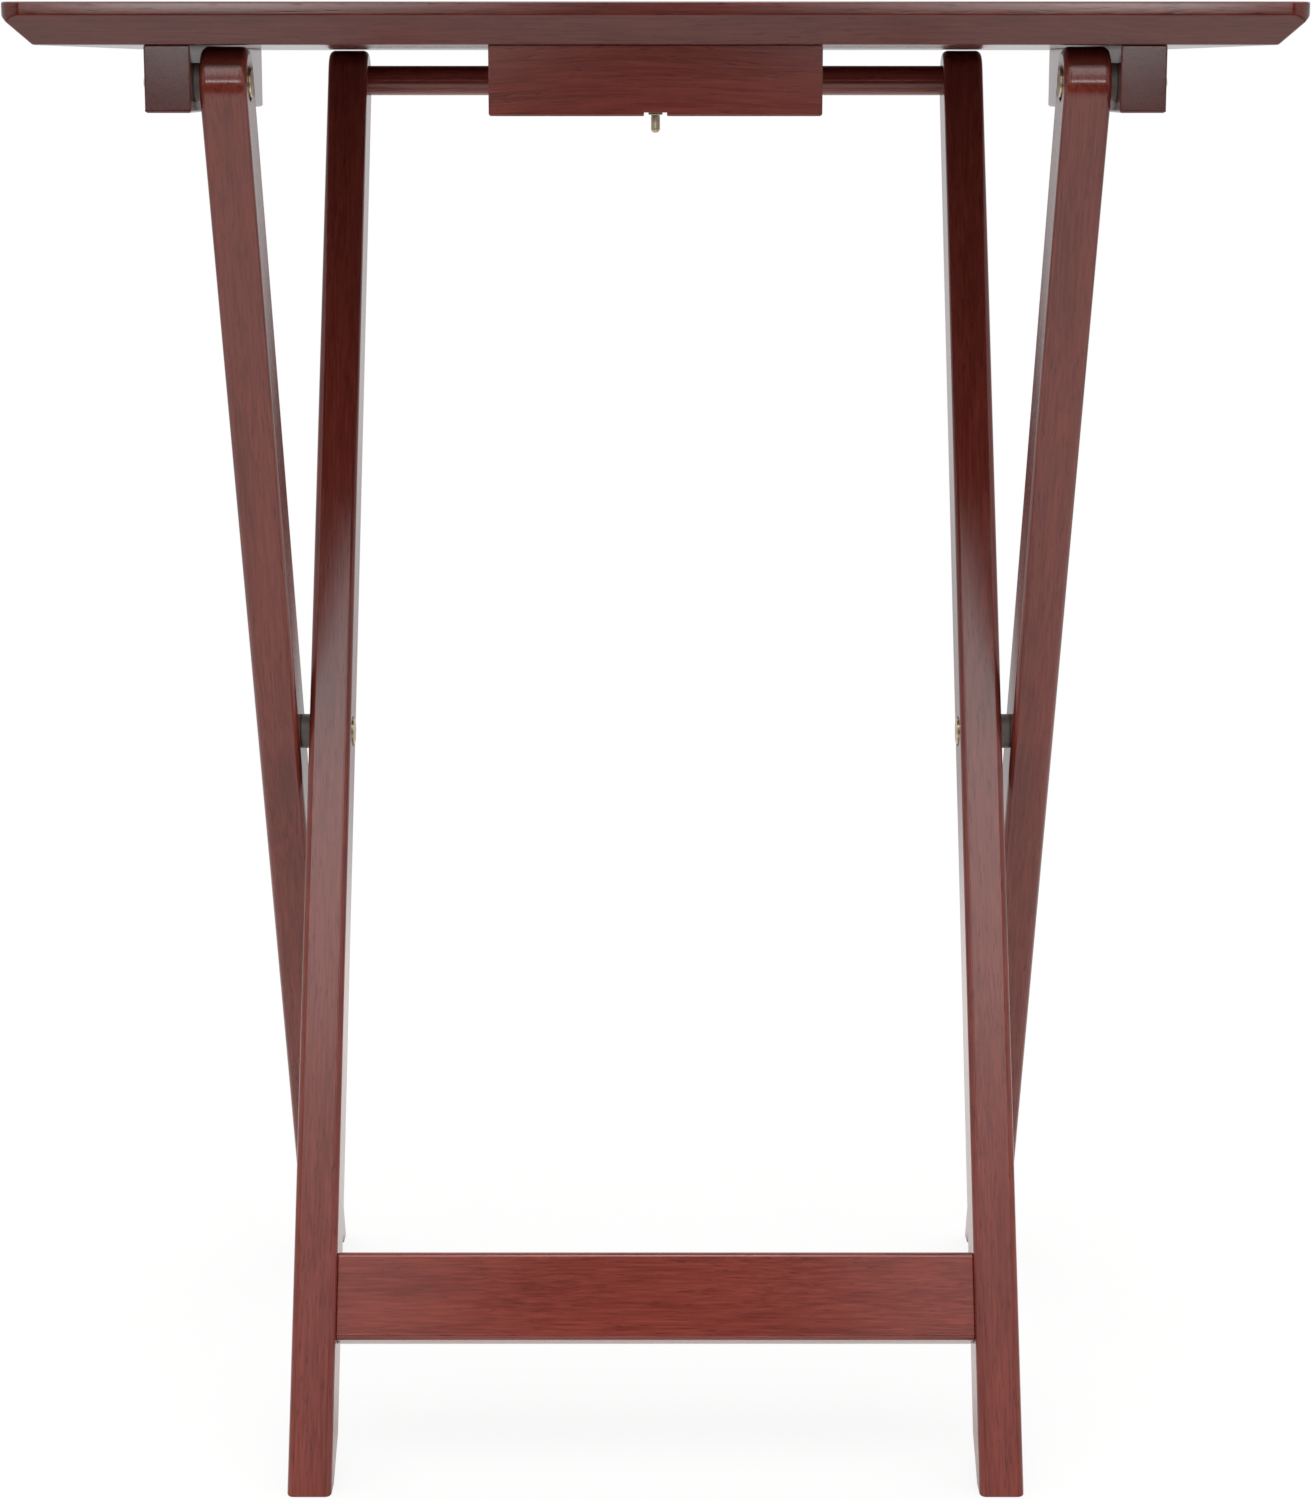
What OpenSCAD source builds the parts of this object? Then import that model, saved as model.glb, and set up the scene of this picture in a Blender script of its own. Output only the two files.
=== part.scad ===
// Folding tray table: a flat top on scissor legs. The outer legs hinge on cleats
// under the front of the top; the inner legs carry a dowel that hooks into a
// catch block under the back of it. X runs across the table, Y from front to
// back, Z up; the origin is on the floor under the middle of the top.

/* [Top] */
// Width of the top, left to right
board_w = 542.4; // [440:1:700]
// Depth of the top, front to back
board_d = 400; // [380:1:520]
// Thickness of the top
board_t = 17.5; // [14:0.5:24]
// Height of the upright band around the top's edge
edge_band = 5.7; // [3:0.1:9]
// Plan radius of the top's corners
corner_r = 9; // [3:0.5:11]
// Height of the tray surface above the floor
table_h = 660; // [540:1:780]

/* [Legs] */
// Width of a leg across the table
leg_w = 20; // [16:0.5:26]
// Depth of a leg seen from the side
leg_d = 30; // [24:0.5:38]
// Rounding of a leg's long edges
leg_edge_r = 3; // [1:0.5:5]
// Half of the clear width between the inner legs
inner_half = 146.5; // [110:0.5:170]
// Distance from the hinge axis to the top dowel's axis, table open
dowel_span = 316; // [270:1:330]
// Height of the scissor pivot above the floor
pivot_h = 318; // [260:1:360]
// Gap between a leg's round end and the underside of the top
leg_top_gap = 0.5; // [0.3:0.1:2]
// Length of the flat toe that stands on the floor
toe_len = 14; // [8:0.5:20]
// Slope of the cut behind the toe, from the floor
heel_slope = 31; // [20:1:45]

/* [Cleats and blocks] */
// Distance from the top's front edge to the cleats and the front block
cleat_inset = 13.3; // [12:0.1:16]
// Length of a cleat
cleat_len = 268; // [200:1:330]
// Width of a cleat
cleat_w = 19.3; // [16:0.1:26]
// Height of a cleat
cleat_h = 27.9; // [26:0.1:34]
// Width of the front block and the catch block
block_w = 139.6; // [90:0.1:200]
// Wood under the groove in the front block and the catch block
groove_lip = 5.8; // [5:0.1:10]
// Distance from the top's front edge to the hinge axis
hinge_inset = 30; // [28:0.5:34]
// Width of the notch along the underside of the front block
notch_w = 9.7; // [8:0.1:12]
// Depth of that notch
notch_d = 1.5; // [1:0.1:2]
// Rounding of the cleats' and blocks' lower edges
wood_edge_r = 1.2; // [0.8:0.1:3]

/* [Dowel and stretcher] */
// Diameter of the top dowel
dowel_d = 14.8; // [12:0.1:18]
// Clearance around the dowel in a block's groove
groove_gap = 0.5; // [0.3:0.1:1]
// How deep the top dowel sits in each inner leg
dowel_socket = 12; // [8:0.5:14]
// Width of the stretcher, measured along the legs
stretcher_w = 40.2; // [30:0.1:50]
// Thickness of the stretcher
stretcher_t = 20; // [12:0.5:23]
// Distance along the leg from the scissor pivot to the stretcher's middle
stretcher_at = 273.7; // [200:0.1:285]
// Set-back of the stretcher's face from the leg's face
stretcher_setback = 3; // [2:0.5:6]
// Diameter of the pins that hold the stretcher
stretcher_pin_d = 8; // [6:0.5:10]
// How deep a stretcher pin sits in the leg and in the stretcher
stretcher_pin_in = 13; // [10:0.5:15]

/* [Hardware] */
// Diameter of the sleeve nut's barrel
barrel_d = 8; // [7:0.1:9]
// Length of the sleeve nut's barrel
barrel_len = 30; // [28:0.5:32]
// Diameter of the sleeve nut's head
nut_head_d = 12.4; // [11:0.1:13.5]
// Thickness of the sleeve nut's head
nut_head_t = 2.8; // [2:0.1:3.5]
// Rounding of the sleeve nut's head
crown = 0.5; // [0.2:0.1:0.8]
// Solid end of the sleeve nut under its head
nut_floor = 4; // [2:0.5:6]
// Diameter of the bolt's shank
shank_d = 5.9; // [5:0.1:6]
// Diameter of the bolt's domed head
bolt_head_d = 11; // [10:0.1:13]
// Height of the bolt's domed head
bolt_head_t = 2.6; // [2:0.1:3]
// Diameter of a counterbore for a head
counterbore_d = 14.8; // [14:0.1:16]
// Depth of the counterbore under a sleeve nut's head
counterbore_t = 2; // [1:0.1:3]
// Depth of the counterbore that hides the pivot bolt's head
bolt_recess = 4; // [3:0.5:6]
// Outside diameter of the spacers
spacer_d = 16.5; // [14:0.1:20]
// Thickness of the spacer between the outer and the inner leg
pivot_spacer_t = 4.6; // [3:0.1:7]
// Thickness of the spacer between the outer leg and the cleat
hinge_spacer_t = 3.1; // [2:0.1:6]
// Radial clearance of a bore that turns on a barrel
run_gap = 0.05; // [0.02:0.01:0.1]
// Clearance between faces that slide past each other
face_gap = 0.1; // [0.05:0.05:0.3]

/* [Lock pin] */
// Diameter of the lock pin
pin_d = 3.8; // [3:0.1:5]
// How far the lock pin hangs below the front block
pin_hang = 7.4; // [6:0.1:10]
// Distance of the lock pin behind the hinge axis
pin_back = 12.5; // [11.5:0.1:14]
// Diameter of the lock pin's head
pin_head_d = 6; // [5:0.1:7]
// Thickness of the lock pin's head
pin_head_t = 1.3; // [1:0.1:1.6]
// Thickness of the bush's flange
flange_t = 1.3; // [0.8:0.1:1.5]
// Diameter of the bush's flange
flange_d = 6; // [5.8:0.1:7]
// Wall of the bush
bush_wall = 0.7; // [0.5:0.1:0.9]
// Wood of the front block behind the lock pin's head
mouth_wood = 4; // [3:0.5:8]

/* [Screws] */
// Diameter of the wood screws' shank
screw_d = 3.5; // [3:0.1:4]
// Diameter of the wood screws' countersunk head
screw_head_d = 6.6; // [6:0.1:7]
// How far a screw reaches into the top
screw_bite = 12; // [8:0.5:12]
// Number of screws in a cleat
cleat_screws_n = 3; // [2:1:4]
// Distance of a cleat's outermost screws from its back end and the hinge axis
screw_end = 28; // [20:1:40]
// Distance of a block's screws from the middle of the table
block_screw_x = 45; // [20:1:60]

/* [Hidden] */
$fn = 64;

wood = "#5c2a22";
brass = "#b59a62";
grey_nylon = "#6f6862";
dark_steel = "#3a3634";
raw_beech = "#c8a878";

eps = 0.01;
cut = 1;

// Heights
under_z = table_h - board_t;
bevel = board_t - edge_band;
axis_drop = leg_d / 2 + leg_top_gap;
axis_z = under_z - axis_drop;

// Places from front to back
front_y = -board_d / 2;
hinge_y = front_y + hinge_inset;
dowel_y = hinge_y + dowel_span;
pivot_y = (hinge_y + dowel_y) / 2;
cleat_y = front_y + cleat_inset;
lean = atan((dowel_span / 2) / (axis_z - pivot_h));
leg_long = table_h / cos(lean);

// Places across the table
inner_x = inner_half;
outer_x = inner_x + leg_w + pivot_spacer_t;
cleat_x = outer_x + leg_w + hinge_spacer_t;

// Fits
nut_base_in = counterbore_t - face_gap;
hinge_reach = outer_x + nut_base_in + barrel_len - cleat_x;
pivot_reach = inner_x + nut_base_in + barrel_len - outer_x;
bore_d = barrel_d + 2 * run_gap;
thread_d = shank_d + 2 * run_gap;
groove_d = dowel_d + 2 * groove_gap;
lip_top = axis_z - groove_d / 2;
block_h = under_z - lip_top + groove_lip;
block_bottom = under_z - block_h;
notch_top = block_bottom + notch_d;
bush_id = pin_d + 2 * run_gap;
bush_od = bush_id + 2 * bush_wall;
pin_y = hinge_y + pin_back;
pin_recess_d = pin_head_d + 0.4;
bush_top = lip_top - pin_head_t;
pin_play = 0.05;
front_depth = pin_y + pin_head_d / 2 + mouth_wood - cleat_y;
catch_back = dowel_y + (hinge_y - cleat_y);
block_screw_in = (hinge_y - groove_d / 2 - cleat_y) / 2;

// Screws
first_screw_y = hinge_y + screw_end;
last_screw_y = cleat_y + cleat_len - screw_end;
screw_step = (last_screw_y - first_screw_y) / (cleat_screws_n - 1);
screw_head_h = (screw_head_d - screw_d) / 2;
screw_hole_d = screw_d + 2 * run_gap;
screw_tip_r = 0.3;
head_sink = 0.1;

// Draws a shape on the right and moves it to the left when side is -1.
module on_side(side) {
    if (side > 0) children();
    else mirror([1, 0, 0]) children();
}

// A rod along +X that starts at x.
module rod_x(x, len, d) {
    translate([x, 0, 0]) rotate([0, 90, 0]) cylinder(h = len, d = d);
}

// A flat rectangle, centred, with round corners.
module round_rect(w, h, r) {
    square([w - 2 * r, h], center = true);
    square([w, h - 2 * r], center = true);
    for (x = [-1, 1], y = [-1, 1])
        translate([x * (w / 2 - r), y * (h / 2 - r)]) circle(r = r);
}

// Turns an outline drawn in Y and Z into a solid from x to x + len.
module along_x(x, len) {
    translate([x, 0, 0]) rotate([90, 0, 90]) linear_extrude(height = len) children();
}

// Turns an outline drawn in X and Z into a solid from y to y + len.
module along_y(y, len) {
    translate([0, y + len, 0]) rotate([90, 0, 0]) linear_extrude(height = len) children();
}

// Moves a shape from the pivot's own frame, in which the leg stands upright, to the inner leg.
module on_lean() {
    translate([0, pivot_y, pivot_h]) rotate([-lean, 0, 0]) children();
}

/* ---- top ---- */

// Section of the top: an upright band over a 45 degree bevel.
module board_section(w) {
    polygon([[-w / 2 + bevel, under_z], [w / 2 - bevel, under_z],
             [w / 2, under_z + bevel], [w / 2, table_h],
             [-w / 2, table_h], [-w / 2, under_z + bevel]]);
}

module tray_top() {
    color(wood) difference() {
        intersection() {
            translate([0, 0, under_z]) linear_extrude(height = board_t)
                round_rect(board_w, board_d, corner_r);
            along_x(-board_w / 2, board_w) board_section(board_d);
            along_y(-board_d / 2, board_d) board_section(board_w);
        }
        for (p = concat(cleat_screw_places(), block_screw_places()))
            translate([p[0], p[1], under_z - cut])
                cylinder(h = screw_bite + 2 * cut, d = screw_hole_d);
    }
}

/* ---- screws ---- */

function cleat_screw_places() = [for (side = [-1, 1], i = [0:cleat_screws_n - 1])
    [side * (cleat_x + cleat_w / 2), first_screw_y + i * screw_step]];
function block_screw_places() = [for (side = [-1, 1], y = [cleat_y + block_screw_in,
                                                          catch_back - block_screw_in])
    [side * block_screw_x, y]];

// Hole for one screw through a piece whose lower face is at z.
module screw_hole(z, h) {
    translate([0, 0, z - cut]) cylinder(h = h + 2 * cut, d = screw_hole_d);
    translate([0, 0, z - eps]) rotate_extrude()
        polygon([[0, 0], [screw_head_d / 2 + run_gap, 0], [screw_hole_d / 2, screw_head_h], [0, screw_head_h]]);
}

// One countersunk wood screw, head down, its head flush with z.
module wood_screw(z, h) {
    top = h + screw_bite;
    translate([0, 0, z]) rotate_extrude()
        polygon([[0, head_sink], [screw_head_d / 2 - head_sink, head_sink], [screw_d / 2, screw_head_h],
                 [screw_d / 2, top - screw_d], [screw_tip_r, top], [0, top]]);
}

module cleat_screws() {
    color(dark_steel) for (p = cleat_screw_places())
        translate([p[0], p[1], 0]) wood_screw(under_z - cleat_h, cleat_h);
}

module block_screws() {
    color(dark_steel) for (p = block_screw_places())
        translate([p[0], p[1], 0]) wood_screw(block_bottom, block_h);
}

/* ---- cleats and blocks ---- */

// A bar's section with its two lower corners rounded; its top is at z = 0.
module bar_section(w, h) {
    translate([-w / 2, -h / 2]) square([w, h / 2]);
    translate([-w / 2, wood_edge_r - h]) square([w, h - wood_edge_r - eps]);
    translate([-w / 2 + wood_edge_r, -h]) square([w - 2 * wood_edge_r, h / 2]);
    for (x = [-1, 1])
        translate([x * (w / 2 - wood_edge_r), wood_edge_r - h]) circle(r = wood_edge_r);
}

module cleat(side) {
    mid = cleat_x + cleat_w / 2;
    color(wood) on_side(side) difference() {
        intersection() {
            translate([mid, 0, under_z]) along_y(cleat_y, cleat_len) bar_section(cleat_w, cleat_h);
            translate([0, cleat_y + cleat_len / 2, under_z])
                along_x(cleat_x, cleat_w) bar_section(cleat_len, cleat_h);
        }
        translate([0, hinge_y, axis_z]) rod_x(cleat_x - cut, hinge_reach + cut + 0.5, bore_d);
        translate([0, hinge_y, axis_z]) rod_x(cleat_x, cleat_w + cut, thread_d);
        for (i = [0:cleat_screws_n - 1])
            translate([mid, first_screw_y + i * screw_step, 0]) screw_hole(under_z - cleat_h, cleat_h);
    }
}

// Outline of a block from the side, its groove open to +Y; y = 0 is the groove's axis.
module block_side(front, back) {
    difference() {
        translate([(back - front) / 2, under_z]) bar_section(front + back, block_h);
        translate([0, axis_z]) circle(d = groove_d);
        translate([0, axis_z - groove_d / 2]) square([back + cut, groove_d]);
    }
}

module front_block() {
    color(wood) difference() {
        intersection() {
            translate([0, hinge_y, 0])
                along_x(-block_w / 2, block_w) block_side(hinge_y - cleat_y, front_depth - hinge_y + cleat_y);
            along_y(cleat_y, front_depth) translate([0, under_z]) bar_section(block_w, block_h);
        }
        translate([-notch_w / 2, cleat_y - cut, block_bottom - cut])
            cube([notch_w, front_depth + 2 * cut, notch_d + cut]);
        translate([0, pin_y, notch_top - eps]) cylinder(h = block_h / 3, d = bush_od);
        translate([0, pin_y, bush_top]) cylinder(h = pin_head_t + cut, d = pin_recess_d);
        for (x = [-1, 1])
            translate([x * block_screw_x, cleat_y + block_screw_in, 0]) screw_hole(block_bottom, block_h);
    }
}

module catch_block() {
    color(wood) difference() {
        intersection() {
            translate([0, dowel_y, 0]) mirror([0, 1, 0])
                along_x(-block_w / 2, block_w) block_side(catch_back - dowel_y, front_depth - catch_back + dowel_y);
            along_y(catch_back - front_depth, front_depth) translate([0, under_z]) bar_section(block_w, block_h);
        }
        for (x = [-1, 1])
            translate([x * block_screw_x, catch_back - block_screw_in, 0]) screw_hole(block_bottom, block_h);
    }
}

/* ---- lock pin ---- */

module lock_pin() {
    tip_r = pin_d / 2;
    low = block_bottom - pin_hang;
    color(brass) translate([0, pin_y, 0]) {
        translate([0, 0, low + tip_r]) cylinder(h = lip_top - low - tip_r - pin_play, r = tip_r);
        translate([0, 0, low + tip_r]) sphere(r = tip_r);
        translate([0, 0, bush_top + pin_play]) cylinder(h = pin_head_t - 2 * pin_play, d = pin_head_d);
    }
}

module pin_bush() {
    color(brass) translate([0, pin_y, 0]) difference() {
        union() {
            translate([0, 0, notch_top - flange_t]) cylinder(h = flange_t, d = flange_d);
            translate([0, 0, notch_top - eps]) cylinder(h = bush_top - notch_top + eps, d = bush_od);
        }
        translate([0, 0, block_bottom - cut]) cylinder(h = block_h, d = bush_id);
    }
}

/* ---- legs ---- */

// Half of the leg's rounded section, right of its middle line.
module half_section() {
    intersection() {
        rotate(90) round_rect(leg_w, leg_d, leg_edge_r);
        translate([0, -leg_w]) square([leg_d, 2 * leg_w]);
    }
}

// The bare inner leg between x and x + leg_w. Its long edges are rounded, its top is
// round about the dowel's axis, and its foot is cut level with the floor, with a
// sloping relief behind the toe.
module leg_blank(x) {
    toe_y = pivot_y - pivot_h * tan(lean) - leg_d / 2 / cos(lean) + toe_len;
    difference() {
        translate([x + leg_w / 2, dowel_y, axis_z]) rotate([-lean, 0, 0]) {
            translate([0, 0, -leg_long]) linear_extrude(height = leg_long)
                round_rect(leg_w, leg_d, leg_edge_r);
            rotate([0, 90, 0]) rotate_extrude() half_section();
        }
        translate([x - cut, toe_y - board_d, -board_d]) cube([leg_w + 2 * cut, 2 * board_d, board_d]);
        translate([x - cut, toe_y, 0]) rotate([heel_slope, 0, 0])
            translate([0, 0, -board_d]) cube([leg_w + 2 * cut, board_d, board_d]);
    }
}

stretcher_off = leg_d / 2 - stretcher_setback - stretcher_t / 2;
pin_pitch = stretcher_w / 2;

module inner_leg(side) {
    color(wood) on_side(side) difference() {
        leg_blank(inner_x);
        translate([0, pivot_y, pivot_h]) {
            rod_x(inner_x - cut, leg_w + 2 * cut, bore_d);
            rod_x(inner_x - cut, counterbore_t + cut, counterbore_d);
        }
        translate([0, dowel_y, axis_z]) rod_x(inner_x - cut, dowel_socket + cut, dowel_d);
        on_lean() for (s = [-1, 1])
            translate([0, -stretcher_off, -stretcher_at + s * pin_pitch / 2])
                rod_x(inner_x - cut, stretcher_pin_in + cut, stretcher_pin_d);
    }
}

module outer_leg(side) {
    color(wood) on_side(side) difference() {
        translate([0, 2 * pivot_y, 0]) mirror([0, 1, 0]) leg_blank(outer_x);
        translate([0, hinge_y, axis_z]) {
            rod_x(outer_x - cut, leg_w + 2 * cut, bore_d);
            rod_x(outer_x - cut, counterbore_t + cut, counterbore_d);
        }
        translate([0, pivot_y, pivot_h]) {
            rod_x(outer_x - cut, pivot_reach + cut + 0.5, bore_d);
            rod_x(outer_x - cut, leg_w + 2 * cut, thread_d);
            rod_x(outer_x + leg_w - bolt_recess, bolt_recess + cut, counterbore_d);
        }
    }
}

module top_dowel() {
    color(wood) translate([0, dowel_y, axis_z])
        rod_x(-inner_x - dowel_socket, 2 * (inner_x + dowel_socket), dowel_d);
}

module stretcher() {
    color(wood) difference() {
        on_lean() translate([-inner_x, -stretcher_off, -stretcher_at]) rotate([90, 0, 90])
            linear_extrude(height = 2 * inner_x) round_rect(stretcher_t, stretcher_w, leg_edge_r - 0.5);
        on_lean() for (side = [-1, 1], s = [-1, 1])
            translate([side * inner_x, -stretcher_off, -stretcher_at + s * pin_pitch / 2])
                rod_x(-stretcher_pin_in, 2 * stretcher_pin_in, stretcher_pin_d);
    }
}

module stretcher_pins() {
    color(raw_beech) on_lean() for (side = [-1, 1], s = [-1, 1])
        translate([side * inner_x, -stretcher_off, -stretcher_at + s * pin_pitch / 2])
            rod_x(-stretcher_pin_in, 2 * stretcher_pin_in, stretcher_pin_d);
}

/* ---- hinge and pivot hardware ---- */

// Sleeve nut along +X: the underside of its head is at x, its barrel points outward.
module sleeve_nut(x) {
    r = nut_head_d / 2;
    translate([x, 0, 0]) rotate([0, 90, 0]) difference() {
        union() {
            cylinder(h = barrel_len, d = barrel_d);
            translate([0, 0, crown - nut_head_t]) cylinder(h = nut_head_t - crown, r = r);
            translate([0, 0, -nut_head_t]) cylinder(h = crown + eps, r = r - crown);
            translate([0, 0, crown - nut_head_t]) rotate_extrude() translate([r - crown, 0]) circle(r = crown);
        }
        translate([0, 0, nut_floor]) cylinder(h = barrel_len, d = thread_d);
    }
}

// Bolt with a domed head whose underside is at x; its shank points to the middle of the table.
module domed_bolt(x, len) {
    r = bolt_head_d / 2;
    ball = (r * r + bolt_head_t * bolt_head_t) / (2 * bolt_head_t);
    translate([x, 0, 0]) rotate([0, 90, 0]) {
        translate([0, 0, -len]) cylinder(h = len + eps, d = shank_d);
        intersection() {
            translate([0, 0, bolt_head_t - ball]) sphere(r = ball);
            cylinder(h = bolt_head_t + cut, r = r);
        }
    }
}

module ring_x(x, len) {
    difference() {
        rod_x(x, len, spacer_d);
        rod_x(x - cut, len + 2 * cut, bore_d);
    }
}

module hinge_bolt(side) {
    base = cleat_x + cleat_w;
    inner_end = outer_x + nut_base_in + barrel_len / 3;
    color(brass) on_side(side) translate([0, hinge_y, axis_z]) domed_bolt(base, base - inner_end);
}

module hinge_nut(side) {
    color(brass) on_side(side) translate([0, hinge_y, axis_z]) sleeve_nut(outer_x + nut_base_in);
}

module hinge_spacer(side) {
    color(grey_nylon) on_side(side) translate([0, hinge_y, axis_z])
        ring_x(outer_x + leg_w + face_gap, hinge_spacer_t - face_gap);
}

module pivot_bolt(side) {
    base = outer_x + leg_w - bolt_recess;
    inner_end = inner_x + nut_base_in + barrel_len / 3;
    color(brass) on_side(side) translate([0, pivot_y, pivot_h]) domed_bolt(base, base - inner_end);
}

module pivot_nut(side) {
    color(brass) on_side(side) translate([0, pivot_y, pivot_h]) sleeve_nut(inner_x + nut_base_in);
}

module pivot_spacer(side) {
    color(grey_nylon) on_side(side) translate([0, pivot_y, pivot_h])
        ring_x(inner_x + leg_w + face_gap, pivot_spacer_t - face_gap);
}

tray_top();
cleat(-1);  // left_cleat
cleat(1);  // right_cleat
front_block();
catch_block();
lock_pin();
pin_bush();
cleat_screws();
block_screws();
outer_leg(-1);  // left_outer_leg
outer_leg(1);  // right_outer_leg
inner_leg(-1);  // left_inner_leg
inner_leg(1);  // right_inner_leg
top_dowel();
stretcher();
stretcher_pins();
hinge_bolt(-1);  // left_hinge_bolt
hinge_bolt(1);  // right_hinge_bolt
hinge_nut(-1);  // left_hinge_nut
hinge_nut(1);  // right_hinge_nut
hinge_spacer(-1);  // left_hinge_spacer
hinge_spacer(1);  // right_hinge_spacer
pivot_bolt(-1);  // left_pivot_bolt
pivot_bolt(1);  // right_pivot_bolt
pivot_nut(-1);  // left_pivot_nut
pivot_nut(1);  // right_pivot_nut
pivot_spacer(-1);  // left_pivot_spacer
pivot_spacer(1);  // right_pivot_spacer
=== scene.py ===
"""Looks of a folding tray table: stained and lacquered wood, brass hardware and a white studio."""

import math

import bmesh
import bpy
from bpy.props import FloatProperty, FloatVectorProperty, PointerProperty
from mathutils import Matrix, Vector


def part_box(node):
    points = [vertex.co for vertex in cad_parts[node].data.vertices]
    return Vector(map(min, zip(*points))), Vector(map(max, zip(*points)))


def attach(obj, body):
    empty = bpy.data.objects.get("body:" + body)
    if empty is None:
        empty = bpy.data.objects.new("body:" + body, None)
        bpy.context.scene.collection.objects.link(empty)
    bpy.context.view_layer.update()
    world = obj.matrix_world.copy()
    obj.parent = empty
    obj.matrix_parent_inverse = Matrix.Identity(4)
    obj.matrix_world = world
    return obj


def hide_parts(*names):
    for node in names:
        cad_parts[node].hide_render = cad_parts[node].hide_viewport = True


bl_info = {
    "name": "Folding tray table looks",
    "version": (1, 0, 0),
    "blender": (4, 5, 0),
    "location": "3D view > Sidebar > Tray table",
    "description": "Dresses the folding tray table and sets up its studio",
    "category": "Object",
}

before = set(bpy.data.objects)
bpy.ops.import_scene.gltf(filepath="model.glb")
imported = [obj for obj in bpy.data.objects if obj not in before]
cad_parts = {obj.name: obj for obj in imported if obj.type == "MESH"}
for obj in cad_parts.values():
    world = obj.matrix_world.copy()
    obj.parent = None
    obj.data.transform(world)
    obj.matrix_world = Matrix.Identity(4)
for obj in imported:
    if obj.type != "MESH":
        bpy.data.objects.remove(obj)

# Clean-up of the CAD meshes: metres for the weld, and angles between faces.
WELD = 2e-6
FLAT_ANGLE = math.radians(0.6)
SHARP_ANGLE = math.radians(34)
SMOOTH_ANGLE = math.radians(40)
# An edge shorter than this share of the rounding is left sharp.
SHORTEST_EDGE = 0.2
ROUND_STEPS = 3
# The cosine between the grain and a face's normal above which the face is a cut end.
CUT_END = 0.8
# Each part reads another stretch of the grain, this far along, across and through, in metres.
GRAIN_STEP = Vector((0.61, 0.23, 0.17))

# How the stained grain is mixed. Sizes are in metres, the rest are shares from 0 to 1.
WANDER_ACROSS = 0.05
WANDER_REACH = 0.02
FIGURE_SHARE = 0.35
STREAK_SHARE = 0.65
STAIN_FROM, STAIN_TO = 0.25, 0.75
PORE_FROM, PORE_TO = 0.60, 0.74
PORE_STAIN = 0.45
END_STAIN = 0.6
BEECH_STREAK_FROM, BEECH_STREAK_TO = 0.4, 0.65

# The hardware: where the plating's dull patches begin and end, the roughness from bright to dull,
# and the size and depth of the mould's texture, in metres.
WEAR_FROM, WEAR_TO = 0.4, 0.65
BRASS_BRIGHT, BRASS_DULL = 0.3, 0.38
ZINC_BRIGHT, ZINC_DULL = 0.3, 0.5
MOULD_TEXTURE = 0.0008
MOULD_DEPTH = 0.00002

# The floor, in metres. Its glow falls to a small share toward the camera's side, so that the
# table's front faces reflect a darker floor.
FLOOR_RADIUS = 9
FLOOR_SIDES = 96
FLOOR_GAP = 0.0002
GLOW_FALLS_FROM, GLOW_FALLS_TO = -0.7, -1.4
GLOW_LEFT = 0.05

# The dark part of the surroundings: cosines of the turn from the camera's side at its soft edge,
# and the upward part of a unit direction where it gives way to the ceiling.
DARK_EDGE_FROM, DARK_EDGE_TO = 0.8, 0.93
CEILING_FROM, CEILING_TO = 0.6, 0.8

# The softboxes, in metres from the middle of the tray's front edge. Each side has a row of strips
# level with the tray and a column of raised strips, with each strip's share of the brightness.
SIDE_BOX_START = 0.12
SIDE_BOX_STRIP = 0.114
SIDE_BOX_SHARES = (0.25, 0.5, 0.8, 1.0)
SIDE_BOX_RISE = 0.14
SIDE_BOX_HEIGHT = 0.2
HIGH_BOX_START = 0.1
HIGH_BOX_STRIP = 0.18
HIGH_BOX_SHARES = (0.3, 0.35, 0.6, 0.95, 1.0, 1.0, 0.8)
HIGH_BOX_REACH = 0.41
HIGH_BOX_GAP = 1.3
HIGH_BOX_WIDTH = 0.46
KEY_BOX_PLACE = Vector((0, -1.0, 1.9))
KEY_BOX_WIDTH = 0.4
KEY_BOX_HEIGHT = 1.0


def linear(hex_code):
    """An sRGB hex colour as the linear values that shaders work in."""
    levels = [int(hex_code[i:i + 2], 16) / 255 for i in (0, 2, 4)]
    return tuple(c / 12.92 if c <= 0.04045 else ((c + 0.055) / 1.055) ** 2.4 for c in levels)


def length(name, description, default):
    """A length property, in metres."""
    return FloatProperty(name=name, description=description, default=default, min=0.0,
                         precision=5, unit="LENGTH")


def angle(name, description, degrees):
    """An angle property, given in degrees."""
    return FloatProperty(name=name, description=description, default=math.radians(degrees),
                         subtype="ANGLE")


def ratio(name, description, default):
    """A plain number property."""
    return FloatProperty(name=name, description=description, default=default, min=0.0,
                         precision=3)


def colour(name, description, hex_code):
    """A colour property, given as sRGB hex."""
    return FloatVectorProperty(name=name, description=description, default=linear(hex_code),
                               size=3, min=0.0, max=1.0, subtype="COLOR")


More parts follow.
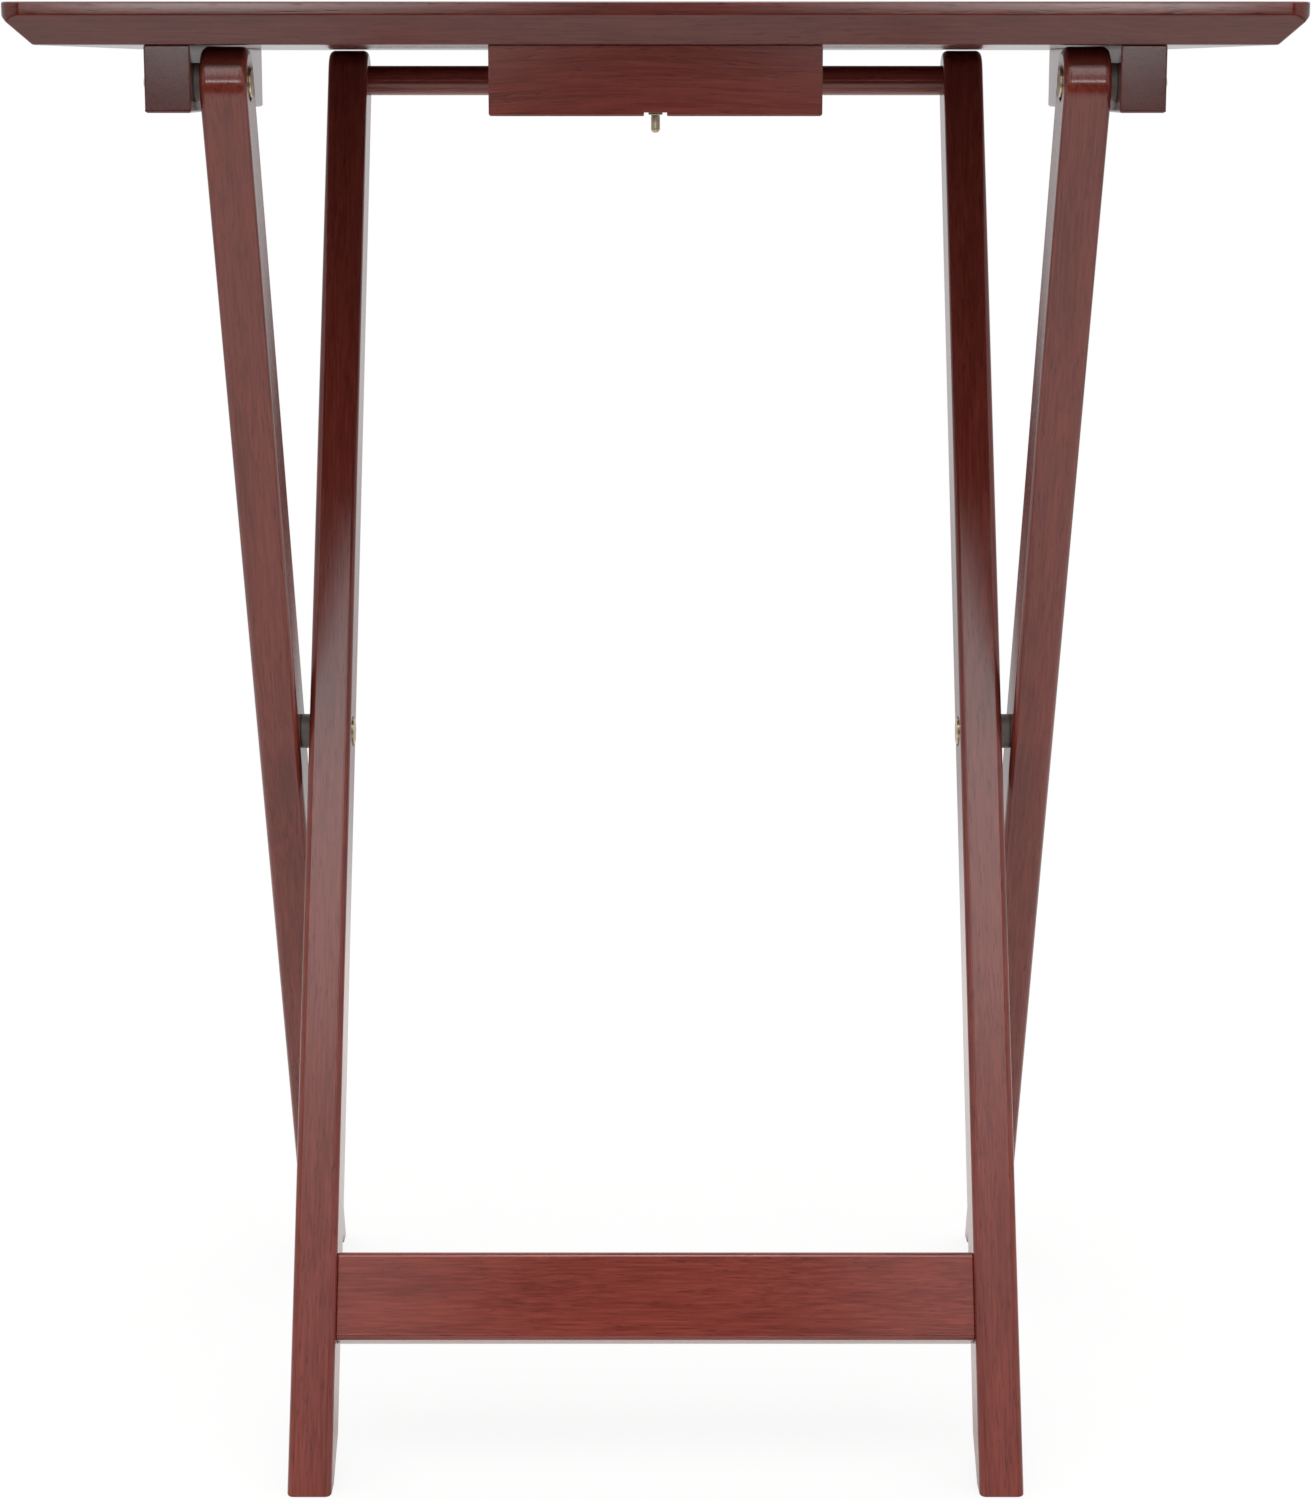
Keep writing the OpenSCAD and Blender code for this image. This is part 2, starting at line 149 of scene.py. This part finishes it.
class WoodLooks(bpy.types.PropertyGroup):
    """Sizes and colours of the wood and its edges."""

    board_round: length("Board edge", "Rounding sanded on the tray's edges", 0.0008)
    block_round: length("Block edge", "Rounding sanded on the grooved blocks", 0.0004)
    part_round: length("Part edge", "Rounding sanded on legs, cleats and rails", 0.0007)
    stain_dark: colour("Dark stain", "Stain where the grain is dense", "592019")
    stain_light: colour("Light stain", "Stain where the grain is open", "78352b")
    stain_pore: colour("Pore stain", "Stain collected in the pores", "3c1512")
    stain_end: colour("End grain", "Stain soaked into cut ends", "3a1614")
    beech: colour("Beech", "Unfinished beech", "c9a27a")
    beech_dark: colour("Beech streak", "Darker streaks of unfinished beech", "ad845c")
    streak_pitch: length("Streak pitch", "Distance between grain streaks", 0.0011)
    streak_length: length("Streak length", "Length of a grain streak", 0.024)
    figure_pitch: length("Figure pitch", "Distance between broad growth bands", 0.009)
    figure_length: length("Figure length", "Length of a broad growth band", 0.14)
    pore_pitch: length("Pore pitch", "Distance between pores", 0.0009)
    pore_length: length("Pore length", "Length of a pore", 0.009)
    grain_depth: length("Grain depth", "Depth of the grain left under the lacquer", 0.00001)
    lacquer_rough: ratio("Lacquer roughness", "How satin the lacquer is", 0.16)
    board_tone: ratio("Board tone", "How light the tray's board took the stain", 0.72)
    cleat_tone: ratio("Cleat tone", "How light the cleats took the stain", 0.78)
    block_tone: ratio("Block tone", "How light the grooved blocks took the stain", 0.9)
    leg_tone: ratio("Leg tone", "How light the legs took the stain", 1.04)
    rail_tone: ratio("Rail tone", "How light the dowel and the stretcher took the stain", 1.2)


class HardwareLooks(bpy.types.PropertyGroup):
    """Sizes and colours of the hardware."""

    metal_round: length("Metal edge", "Rounding left on turned and pressed metal", 0.00025)
    nylon_round: length("Nylon edge", "Rounding left by the mould on the spacers", 0.0003)
    brass: colour("Brass", "Brass plating", "d0c3a8")
    brass_tarnish: colour("Tarnish", "Brass plating where it has dulled", "b5a588")
    steel: colour("Zinc", "Dark zinc plating", "8b8781")
    nylon: colour("Nylon", "Moulded grey nylon", "6f6861")
    wear_size: length("Wear size", "Size of the dull patches on the plating", 0.003)


class StudioLooks(bpy.types.PropertyGroup):
    """Sizes, places and strengths of the studio."""

    camera_gap: length("Camera gap", "Camera to the tray's front edge", 1.4494)
    camera_height: length("Camera height", "Camera above the floor", 0.6322)
    camera_pitch: angle("Camera pitch", "Camera turned down from level", 11.18)
    lens: FloatProperty(name="Lens", description="Focal length on a 36 mm sensor",
                        default=82.55, min=1.0, unit="CAMERA")
    floor_white: colour("Floor", "White paper sweep", "e8e6e4")
    floor_glow: ratio("Floor glow", "Share of even white in the floor that the camera sees", 0.85)
    floor_mid: ratio("Middle floor glow", "Brightness of the sweep behind the table", 0.6)
    floor_far: ratio("Far floor glow", "Brightness of the sweep far from the table", 0.8)
    far_reach: length("Far reach", "Radius from which the far brightness holds", 5.0)
    sky: ratio("Surroundings", "Brightness of the white surroundings", 0.78)
    sky_top: ratio("Ceiling", "Brightness of the white ceiling", 2.2)
    sky_dark: ratio("Camera side", "Brightness of the room behind the camera", 0.04)
    side_light: ratio("Side boxes", "Radiance of the softboxes level with the tray", 10.0)
    high_light: ratio("High boxes", "Radiance of the raised softboxes", 2.6)
    key_light: ratio("Key box", "Radiance of the key softbox above the camera", 5.0)
    light_gap: length("Light gap", "Softboxes in front of the tray's front edge", 2.0)
    near_floor: length("Near floor", "Radius round the table that takes shadows", 0.55)
    far_floor: length("Far floor", "Radius from which the sweep is evenly white", 1.5)


def add_node(tree, kind, inputs=None, **settings):
    """Adds a node with its settings, and sets or links its inputs."""
    node = tree.nodes.new(kind)
    for name, value in settings.items():
        setattr(node, name, value)
    for socket, value in (inputs or {}).items():
        if isinstance(value, bpy.types.NodeSocket):
            tree.links.new(value, node.inputs[socket])
        else:
            node.inputs[socket].default_value = value
    return node


def new_material(name):
    """An empty node material and its output node."""
    material = bpy.data.materials.new(name)
    material.use_nodes = True
    material.node_tree.nodes.clear()
    output = material.node_tree.nodes.new("ShaderNodeOutputMaterial")
    return material, material.node_tree, output


def rgba(value):
    """A colour property as the four values a colour socket takes."""
    return (value[0], value[1], value[2], 1.0)


def stretched_noise(tree, place, along, across, detail, roughness=0.5):
    """Noise with features of the given real lengths along and across the grain."""
    scaled = add_node(tree, "ShaderNodeVectorMath",
                      {0: place, 1: (1 / along, 1 / across, 1 / across)}, operation="MULTIPLY")
    noise = add_node(tree, "ShaderNodeTexNoise",
                     {"Vector": scaled.outputs[0], "Scale": 1.0, "Detail": detail,
                      "Roughness": roughness})
    return noise.outputs["Fac"]


def ranged(tree, value, low, high, to_low=0.0, to_high=1.0):
    """A value mapped smoothly from one range to another."""
    node = add_node(tree, "ShaderNodeMapRange",
                    {"Value": value, "From Min": low, "From Max": high, "To Min": to_low,
                     "To Max": to_high}, interpolation_type="SMOOTHSTEP")
    return node.outputs["Result"]


def combined(tree, operation, first, second):
    """Two values put through one arithmetic operation."""
    return add_node(tree, "ShaderNodeMath", {0: first, 1: second},
                    operation=operation).outputs[0]


def blended(tree, factor, first, second, blend_type="MIX"):
    """Two colours blended by a factor."""
    node = add_node(tree, "ShaderNodeMix", {"Factor": factor}, data_type="RGBA",
                    blend_type=blend_type)
    for socket, value in ((node.inputs[6], first), (node.inputs[7], second)):
        if isinstance(value, bpy.types.NodeSocket):
            tree.links.new(value, socket)
        else:
            socket.default_value = value
    return node.outputs[2]


def stained_wood(looks):
    """Reddish hardwood under satin lacquer."""
    # Sanded hardwood, stained and sprayed with satin lacquer: dark red-brown with thin streaks
    # along each part, and a soft pale sheen that the grain breaks up a little.
    material, tree, output = new_material("hardwood_stained_satin_lacquer")
    place = add_node(tree, "ShaderNodeAttribute", attribute_name="grain_co").outputs["Vector"]
    end = add_node(tree, "ShaderNodeAttribute", attribute_name="end_grain").outputs["Fac"]
    tone_kept = add_node(tree, "ShaderNodeAttribute", attribute_name="stain_tone").outputs["Fac"]
    wander = stretched_noise(tree, place, looks.figure_length, WANDER_ACROSS, 1.0)
    shift = add_node(tree, "ShaderNodeCombineXYZ",
                     {"Y": combined(tree, "MULTIPLY", wander, WANDER_REACH)})
    bent = add_node(tree, "ShaderNodeVectorMath", {0: place, 1: shift.outputs[0]},
                    operation="ADD").outputs[0]
    figure = stretched_noise(tree, bent, looks.figure_length, looks.figure_pitch, 2.0)
    streak = stretched_noise(tree, bent, looks.streak_length, looks.streak_pitch, 2.0, 0.6)
    # Real pores are about 0.2 mm wide, too fine to show, so they are drawn about 4 times wider.
    pore = stretched_noise(tree, bent, looks.pore_length, looks.pore_pitch, 1.0)
    pores = ranged(tree, pore, PORE_FROM, PORE_TO)
    tone = combined(tree, "ADD", combined(tree, "MULTIPLY", figure, FIGURE_SHARE),
                    combined(tree, "MULTIPLY", streak, STREAK_SHARE))
    stain = blended(tree, ranged(tree, tone, STAIN_FROM, STAIN_TO), rgba(looks.stain_dark),
                    rgba(looks.stain_light))
    pored = blended(tree, combined(tree, "MULTIPLY", pores, PORE_STAIN), stain,
                    rgba(looks.stain_pore))
    soaked = blended(tree, combined(tree, "MULTIPLY", end, END_STAIN), pored,
                     rgba(looks.stain_end))
    toned = add_node(tree, "ShaderNodeVectorMath", {0: soaked, "Scale": tone_kept},
                     operation="SCALE").outputs[0]
    height = combined(tree, "SUBTRACT", streak, pores)
    bump = add_node(tree, "ShaderNodeBump",
                    {"Height": height, "Distance": looks.grain_depth, "Strength": 1.0})
    shader = add_node(tree, "ShaderNodeBsdfPrincipled",
                      {"Base Color": toned, "Roughness": 0.5, "Specular IOR Level": 0.0,
                       "Coat Weight": 1.0, "Coat Roughness": looks.lacquer_rough,
                       "Coat IOR": 1.5, "Normal": bump.outputs[0],
                       "Coat Normal": bump.outputs[0]})
    tree.links.new(shader.outputs[0], output.inputs["Surface"])
    return material


def raw_beech(looks):
    """Unfinished beech."""
    # Turned beech left bare: pale, matt, with short darker streaks along the pin.
    material, tree, output = new_material("beech_turned_unfinished")
    place = add_node(tree, "ShaderNodeAttribute", attribute_name="grain_co").outputs["Vector"]
    streak = stretched_noise(tree, place, looks.streak_length, looks.streak_pitch, 2.0)
    wood = blended(tree, ranged(tree, streak, BEECH_STREAK_FROM, BEECH_STREAK_TO),
                   rgba(looks.beech), rgba(looks.beech_dark))
    shader = add_node(tree, "ShaderNodeBsdfPrincipled", {"Base Color": wood, "Roughness": 0.7})
    tree.links.new(shader.outputs[0], output.inputs["Surface"])
    return material


def plated_brass(looks):
    """Brass plating, slightly dulled."""
    # Turned metal plated with brass and handled: warm yellow reflections, softer where dulled.
    material, tree, output = new_material("brass_plated_turned")
    place = add_node(tree, "ShaderNodeAttribute", attribute_name="grain_co").outputs["Vector"]
    wear = ranged(tree, stretched_noise(tree, place, looks.wear_size, looks.wear_size, 2.0),
                  WEAR_FROM, WEAR_TO)
    tint = blended(tree, wear, rgba(looks.brass), rgba(looks.brass_tarnish))
    rough = add_node(tree, "ShaderNodeMapRange",
                     {"Value": wear, "To Min": BRASS_BRIGHT,
                      "To Max": BRASS_DULL}).outputs["Result"]
    shader = add_node(tree, "ShaderNodeBsdfPrincipled",
                      {"Base Color": tint, "Metallic": 1.0, "Roughness": rough})
    tree.links.new(shader.outputs[0], output.inputs["Surface"])
    return material


def plated_steel(looks):
    """Dark zinc plating."""
    # Pressed steel screws plated with dark zinc: grey, with a dull metallic shine.
    material, tree, output = new_material("steel_pressed_zinc_plated")
    place = add_node(tree, "ShaderNodeAttribute", attribute_name="grain_co").outputs["Vector"]
    wear = stretched_noise(tree, place, looks.wear_size, looks.wear_size, 2.0)
    rough = add_node(tree, "ShaderNodeMapRange",
                     {"Value": wear, "To Min": ZINC_BRIGHT,
                      "To Max": ZINC_DULL}).outputs["Result"]
    shader = add_node(tree, "ShaderNodeBsdfPrincipled",
                      {"Base Color": rgba(looks.steel), "Metallic": 1.0, "Roughness": rough})
    tree.links.new(shader.outputs[0], output.inputs["Surface"])
    return material


def moulded_nylon(looks):
    """Grey moulded nylon."""
    # Injection-moulded nylon washers: even warm grey with a faint moulded texture.
    material, tree, output = new_material("nylon_moulded_grey")
    place = add_node(tree, "ShaderNodeAttribute", attribute_name="grain_co").outputs["Vector"]
    texture = stretched_noise(tree, place, MOULD_TEXTURE, MOULD_TEXTURE, 1.0)
    bump = add_node(tree, "ShaderNodeBump",
                    {"Height": texture, "Distance": MOULD_DEPTH, "Strength": 1.0})
    shader = add_node(tree, "ShaderNodeBsdfPrincipled",
                      {"Base Color": rgba(looks.nylon), "Roughness": 0.45,
                       "Normal": bump.outputs[0]})
    tree.links.new(shader.outputs[0], output.inputs["Surface"])
    return material


def white_paper(looks):
    """The floor's white paper."""
    # Matt white paper sweep: takes soft shadows by the table and is evenly white further out.
    # It is clear from below, so that the underside can be looked at.
    material, tree, output = new_material("paper_matt_white")
    place = add_node(tree, "ShaderNodeNewGeometry").outputs["Position"]
    reach = add_node(tree, "ShaderNodeVectorMath", {0: place}, operation="LENGTH")
    far = ranged(tree, reach.outputs["Value"], looks.near_floor, looks.far_floor)
    seen = add_node(tree, "ShaderNodeLightPath").outputs["Is Camera Ray"]
    share = combined(tree, "MAXIMUM", far, combined(tree, "MULTIPLY", seen, looks.floor_glow))
    paper = add_node(tree, "ShaderNodeBsdfDiffuse", {"Color": rgba(looks.floor_white)})
    depth = add_node(tree, "ShaderNodeSeparateXYZ", {0: place}).outputs["Y"]
    level = ranged(tree, reach.outputs["Value"], looks.far_floor, looks.far_reach,
                   looks.floor_mid, looks.floor_far)
    falling = ranged(tree, depth, GLOW_FALLS_TO, GLOW_FALLS_FROM, GLOW_LEFT, 1.0)
    fall = combined(tree, "MULTIPLY", falling, level)
    glow = add_node(tree, "ShaderNodeEmission",
                    {"Color": (1, 1, 1, 1), "Strength": combined(tree, "MAXIMUM", seen, fall)})
    mixed = add_node(tree, "ShaderNodeMixShader",
                     {0: share, 1: paper.outputs[0], 2: glow.outputs[0]})
    below = add_node(tree, "ShaderNodeNewGeometry").outputs["Backfacing"]
    clear = add_node(tree, "ShaderNodeBsdfTransparent")
    one_sided = add_node(tree, "ShaderNodeMixShader",
                         {0: below, 1: mixed.outputs[0], 2: clear.outputs[0]})
    tree.links.new(one_sided.outputs[0], output.inputs["Surface"])
    return material


def material_of(maker, looks):
    """The material that a maker makes, made once."""
    kept = bpy.context.scene.get("tray_table_materials")
    names = dict(kept) if kept else {}
    if maker.__name__ not in names:
        names[maker.__name__] = maker(looks).name
        bpy.context.scene["tray_table_materials"] = names
    return bpy.data.materials[names[maker.__name__]]


def middle(node):
    """The middle of a node's box."""
    low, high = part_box(node)
    return (low + high) / 2


def leg_axis(end_node):
    """Unit vector along a leg, from the scissor pivot to the axis of the node at its top."""
    run = middle(end_node) - middle("left_pivot_bolt")
    run.x = 0
    return run.normalized()


def grain_turn(along, flat):
    """Matrix that turns the row frame into a part's grain frame: along, across and through."""
    along = along.normalized()
    through = (flat - flat.dot(along) * along).normalized()
    across = through.cross(along)
    return Matrix((along, across, through))


def edges_to_round(work, size):
    """The mesh's sharp outer edges that have room for a rounding of that size."""
    chosen = []
    for edge in work.edges:
        if not edge.is_manifold or edge.calc_length() < size * SHORTEST_EDGE:
            continue
        if edge.calc_face_angle() > SHARP_ANGLE and edge.is_convex:
            chosen.append(edge)
    return chosen


def finished(node, body, material, size, turn=None, order=0, tone=1.0):
    """Makes the piece that stands for a CAD node, with its edges rounded by size."""
    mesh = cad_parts[node].data.copy()
    mesh.name = node + "_finished"
    work = bmesh.new()
    work.from_mesh(mesh)
    bmesh.ops.remove_doubles(work, verts=work.verts, dist=WELD)
    bmesh.ops.dissolve_limit(work, angle_limit=FLAT_ANGLE, verts=work.verts, edges=work.edges)
    if size > 0:
        bmesh.ops.bevel(work, geom=edges_to_round(work, size), offset=size,
                        segments=ROUND_STEPS, profile=0.5, affect="EDGES", clamp_overlap=False)
    bmesh.ops.recalc_face_normals(work, faces=work.faces)
    work.to_mesh(mesh)
    work.free()
    mesh.materials.clear()
    mesh.materials.append(material)
    mesh.polygons.foreach_set("use_smooth", [True] * len(mesh.polygons))
    mesh.set_sharp_from_angle(angle=SMOOTH_ANGLE)
    mark_grain(mesh, turn or Matrix.Identity(3), order, tone)
    piece = bpy.data.objects.new(node + "_finished", mesh)
    bpy.context.scene.collection.objects.link(piece)
    weighted = piece.modifiers.new("even_faces", "WEIGHTED_NORMAL")
    weighted.keep_sharp = True
    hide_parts(node)
    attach(piece, body)
    return piece


def mark_grain(mesh, turn, order, tone):
    """Stores each point's place in the grain, the part's tone and which faces are cut ends."""
    start = GRAIN_STEP * order
    places = mesh.attributes.new("grain_co", "FLOAT_VECTOR", "POINT")
    for vertex in mesh.vertices:
        places.data[vertex.index].vector = turn @ vertex.co + start
    tones = mesh.attributes.new("stain_tone", "FLOAT", "POINT")
    tones.data.foreach_set("value", [tone] * len(mesh.vertices))
    ends = mesh.attributes.new("end_grain", "FLOAT", "FACE")
    for face in mesh.polygons:
        ends.data[face.index].value = 1.0 if abs((turn @ face.normal).x) > CUT_END else 0.0


class TRAYTABLE_OT_tray_top(bpy.types.Operator):
    """Dress the tray's board"""

    bl_idname = "tray_table.tray_top"
    bl_label = "Tray board"

    def execute(self, context):
        looks = context.scene.tray_table_wood
        turn = grain_turn(Vector((1, 0, 0)), Vector((0, 0, 1)))
        finished("tray_top", "tray", material_of(stained_wood, looks),
                 looks.board_round, turn, 1, looks.board_tone)
        return {"FINISHED"}


class TRAYTABLE_OT_cleats(bpy.types.Operator):
    """Dress the cleats under the tray"""

    bl_idname = "tray_table.cleats"
    bl_label = "Cleats"

    def execute(self, context):
        looks = context.scene.tray_table_wood
        turn = grain_turn(Vector((0, 1, 0)), Vector((1, 0, 0)))
        for order, node in enumerate(("left_cleat", "right_cleat"), 2):
            finished(node, "tray", material_of(stained_wood, looks),
                     looks.part_round, turn, order, looks.cleat_tone)
        return {"FINISHED"}


class TRAYTABLE_OT_blocks(bpy.types.Operator):
    """Dress the grooved blocks under the tray"""

    bl_idname = "tray_table.blocks"
    bl_label = "Grooved blocks"

    def execute(self, context):
        looks = context.scene.tray_table_wood
        turn = grain_turn(Vector((1, 0, 0)), Vector((0, 1, 0)))
        for order, node in enumerate(("front_block", "catch_block"), 4):
            finished(node, "tray", material_of(stained_wood, looks),
                     looks.block_round, turn, order, looks.block_tone)
        return {"FINISHED"}


class TRAYTABLE_OT_legs(bpy.types.Operator):
    """Dress the four crossed legs"""

    bl_idname = "tray_table.legs"
    bl_label = "Legs"

    def execute(self, context):
        looks = context.scene.tray_table_wood
        legs = (("left_inner_leg", "inner_frame", "top_dowel"),
                ("right_inner_leg", "inner_frame", "top_dowel"),
                ("left_outer_leg", "outer_frame", "left_hinge_bolt"),
                ("right_outer_leg", "outer_frame", "left_hinge_bolt"))
        for order, (node, body, top) in enumerate(legs, 6):
            turn = grain_turn(leg_axis(top), Vector((1, 0, 0)))
            finished(node, body, material_of(stained_wood, looks),
                     looks.part_round, turn, order, looks.leg_tone)
        return {"FINISHED"}


class TRAYTABLE_OT_rails(bpy.types.Operator):
    """Dress the top dowel, the stretcher and its pins"""

    bl_idname = "tray_table.rails"
    bl_label = "Dowel and stretcher"

    def execute(self, context):
        looks = context.scene.tray_table_wood
        turn = grain_turn(Vector((1, 0, 0)), leg_axis("top_dowel"))
        for order, node in enumerate(("top_dowel", "stretcher"), 10):
            finished(node, "inner_frame", material_of(stained_wood, looks),
                     looks.part_round, turn, order, looks.rail_tone)
        finished("stretcher_pins", "inner_frame", material_of(raw_beech, looks),
                 0.0, turn, 12)
        return {"FINISHED"}


class TRAYTABLE_OT_hinges(bpy.types.Operator):
    """Dress the bolts, barrel nuts and spacers of the hinges and the scissor pivot"""

    bl_idname = "tray_table.hinges"
    bl_label = "Hinges and pivot"

    def execute(self, context):
        looks = context.scene.tray_table_hardware
        order = 20
        for place, body in (("hinge", "tray"), ("pivot", "outer_frame")):
            for side in ("left", "right"):
                for kind in ("bolt", "nut"):
                    finished(f"{side}_{place}_{kind}", body,
                             material_of(plated_brass, looks), looks.metal_round, None, order)
                    order += 1
                finished(f"{side}_{place}_spacer", body,
                         material_of(moulded_nylon, looks), looks.nylon_round, None, order)
                order += 1
        return {"FINISHED"}


class TRAYTABLE_OT_lock_pin(bpy.types.Operator):
    """Dress the lock pin and its bush"""

    bl_idname = "tray_table.lock_pin"
    bl_label = "Lock pin"

    def execute(self, context):
        looks = context.scene.tray_table_hardware
        for order, (node, body) in enumerate((("lock_pin", "lock_pin"), ("pin_bush", "tray")), 40):
            finished(node, body, material_of(plated_brass, looks), looks.metal_round,
                     None, order)
        return {"FINISHED"}


class TRAYTABLE_OT_screws(bpy.types.Operator):
    """Dress the screws that hold the cleats and the blocks"""

    bl_idname = "tray_table.screws"
    bl_label = "Screws"

    def execute(self, context):
        looks = context.scene.tray_table_hardware
        for order, node in enumerate(("cleat_screws", "block_screws"), 50):
            finished(node, "tray", material_of(plated_steel, looks), 0.0,
                     None, order)
        return {"FINISHED"}


def add_softbox(name, place, aim, width, height, radiance):
    """A rectangular softbox at a place, turned to face a point. The camera doesn't see it."""
    data = bpy.data.lights.new(name, "AREA")
    data.shape = "RECTANGLE"
    data.size = width
    data.size_y = height
    data.energy = radiance * math.pi * width * height
    light = bpy.data.objects.new(name, data)
    light.location = place
    light.rotation_euler = (aim - place).to_track_quat("-Z", "Y").to_euler()
    light.visible_camera = False
    bpy.context.scene.collection.objects.link(light)
    return light


def add_surroundings(looks):
    """White surroundings under a bright ceiling, dark where the room lies behind the camera."""
    world = bpy.data.worlds.new("studio")
    bpy.context.scene.world = world
    world.use_nodes = True
    tree = world.node_tree
    tree.nodes.clear()
    toward = add_node(tree, "ShaderNodeTexCoord").outputs["Generated"]
    parts = add_node(tree, "ShaderNodeSeparateXYZ", {0: toward})
    ground = add_node(tree, "ShaderNodeCombineXYZ",
                      {"X": parts.outputs["X"], "Y": parts.outputs["Y"]}).outputs[0]
    around = add_node(tree, "ShaderNodeVectorMath", {0: ground}, operation="NORMALIZE").outputs[0]
    front = add_node(tree, "ShaderNodeVectorMath", {0: around, 1: (0, -1, 0)},
                     operation="DOT_PRODUCT").outputs["Value"]
    ahead = ranged(tree, front, DARK_EDGE_FROM, DARK_EDGE_TO)
    level = ranged(tree, parts.outputs["Z"], CEILING_FROM, CEILING_TO, 1.0, 0.0)
    dark = combined(tree, "MULTIPLY", ahead, level)
    walls = add_node(tree, "ShaderNodeMapRange",
                     {"Value": dark, "To Min": looks.sky, "To Max": looks.sky_dark})
    ceiling = ranged(tree, parts.outputs["Z"], CEILING_FROM, CEILING_TO, 0.0,
                     looks.sky_top - looks.sky)
    room = add_node(tree, "ShaderNodeBackground",
                    {"Color": (1, 1, 1, 1),
                     "Strength": combined(tree, "ADD", walls.outputs["Result"], ceiling)})
    plain = add_node(tree, "ShaderNodeBackground", {"Color": (1, 1, 1, 1), "Strength": 1.0})
    seen = add_node(tree, "ShaderNodeLightPath").outputs["Is Camera Ray"]
    mixed = add_node(tree, "ShaderNodeMixShader",
                     {0: seen, 1: room.outputs[0], 2: plain.outputs[0]})
    output = add_node(tree, "ShaderNodeOutputWorld")
    tree.links.new(mixed.outputs[0], output.inputs["Surface"])


class TRAYTABLE_OT_stage(bpy.types.Operator):
    """Set up the floor, the surroundings, the lights and the camera"""

    bl_idname = "tray_table.stage"
    bl_label = "Studio"

    def execute(self, context):
        looks = context.scene.tray_table_studio
        low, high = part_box("tray_top")
        front = Vector((0, low.y, (low.z + high.z) / 2))
        bpy.ops.mesh.primitive_circle_add(vertices=FLOOR_SIDES, radius=FLOOR_RADIUS,
                                          fill_type="NGON")
        floor = context.object
        floor.name = "floor"
        floor.location.z = -FLOOR_GAP
        floor.data.materials.append(material_of(white_paper, looks))
        add_surroundings(looks)
        for side, name in ((-1, "left"), (1, "right")):
            for strip, share in enumerate(SIDE_BOX_SHARES):
                reach = SIDE_BOX_START + SIDE_BOX_STRIP * (strip + 0.5)
                level = front + Vector((side * reach, -looks.light_gap, SIDE_BOX_RISE))
                add_softbox(f"{name}_side_box_{strip}", level, level + Vector((0, 1, 0)),
                            SIDE_BOX_STRIP, SIDE_BOX_HEIGHT, looks.side_light * share)
            for strip, share in enumerate(HIGH_BOX_SHARES):
                rise = HIGH_BOX_START + HIGH_BOX_STRIP * (strip + 0.5)
                raised = front + Vector((side * HIGH_BOX_REACH, -HIGH_BOX_GAP, rise))
                add_softbox(f"{name}_high_box_{strip}", raised, raised + Vector((0, 1, 0)),
                            HIGH_BOX_WIDTH, HIGH_BOX_STRIP, looks.high_light * share)
        add_softbox("key_box", front + KEY_BOX_PLACE, front, KEY_BOX_WIDTH, KEY_BOX_HEIGHT,
                    looks.key_light)
        camera = bpy.data.objects.new("camera", bpy.data.cameras.new("camera"))
        camera.data.sensor_width = 36.0
        camera.data.lens = looks.lens
        camera.data.clip_start = 0.05
        camera.data.clip_end = 50.0
        camera.location = (0, low.y - looks.camera_gap, looks.camera_height)
        camera.rotation_euler = (math.pi / 2 - looks.camera_pitch, 0, 0)
        context.scene.collection.objects.link(camera)
        context.scene.camera = camera
        context.scene.view_settings.view_transform = "Standard"
        return {"FINISHED"}


class TRAYTABLE_PT_sidebar(bpy.types.Panel):
    """The tray table's buttons and settings"""

    bl_idname = "TRAYTABLE_PT_sidebar"
    bl_label = "Tray table"
    bl_space_type = "VIEW_3D"
    bl_region_type = "UI"
    bl_category = "Tray table"

    def draw(self, context):
        for operator in OPERATORS:
            self.layout.operator(operator.bl_idname)
        for group in GROUPS:
            looks = getattr(context.scene, GROUPS[group])
            for name in group.__annotations__:
                self.layout.prop(looks, name)


OPERATORS = (
    TRAYTABLE_OT_tray_top,
    TRAYTABLE_OT_cleats,
    TRAYTABLE_OT_blocks,
    TRAYTABLE_OT_legs,
    TRAYTABLE_OT_rails,
    TRAYTABLE_OT_hinges,
    TRAYTABLE_OT_lock_pin,
    TRAYTABLE_OT_screws,
    TRAYTABLE_OT_stage,
)
GROUPS = {
    WoodLooks: "tray_table_wood",
    HardwareLooks: "tray_table_hardware",
    StudioLooks: "tray_table_studio",
}


def register():
    """Registers the settings, the operators and the panel."""
    for group, name in GROUPS.items():
        bpy.utils.register_class(group)
        setattr(bpy.types.Scene, name, PointerProperty(type=group))
    for kind in (*OPERATORS, TRAYTABLE_PT_sidebar):
        bpy.utils.register_class(kind)


def unregister():
    """Takes away everything that register() added."""
    for kind in (TRAYTABLE_PT_sidebar, *reversed(OPERATORS)):
        bpy.utils.unregister_class(kind)
    for group, name in GROUPS.items():
        delattr(bpy.types.Scene, name)
        bpy.utils.unregister_class(group)


def main():
    """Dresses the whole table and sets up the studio."""
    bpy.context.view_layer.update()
    register()
    for operator in OPERATORS:
        group, name = operator.bl_idname.split(".")
        getattr(getattr(bpy.ops, group), name)()


if __name__ == "__main__":
    main()
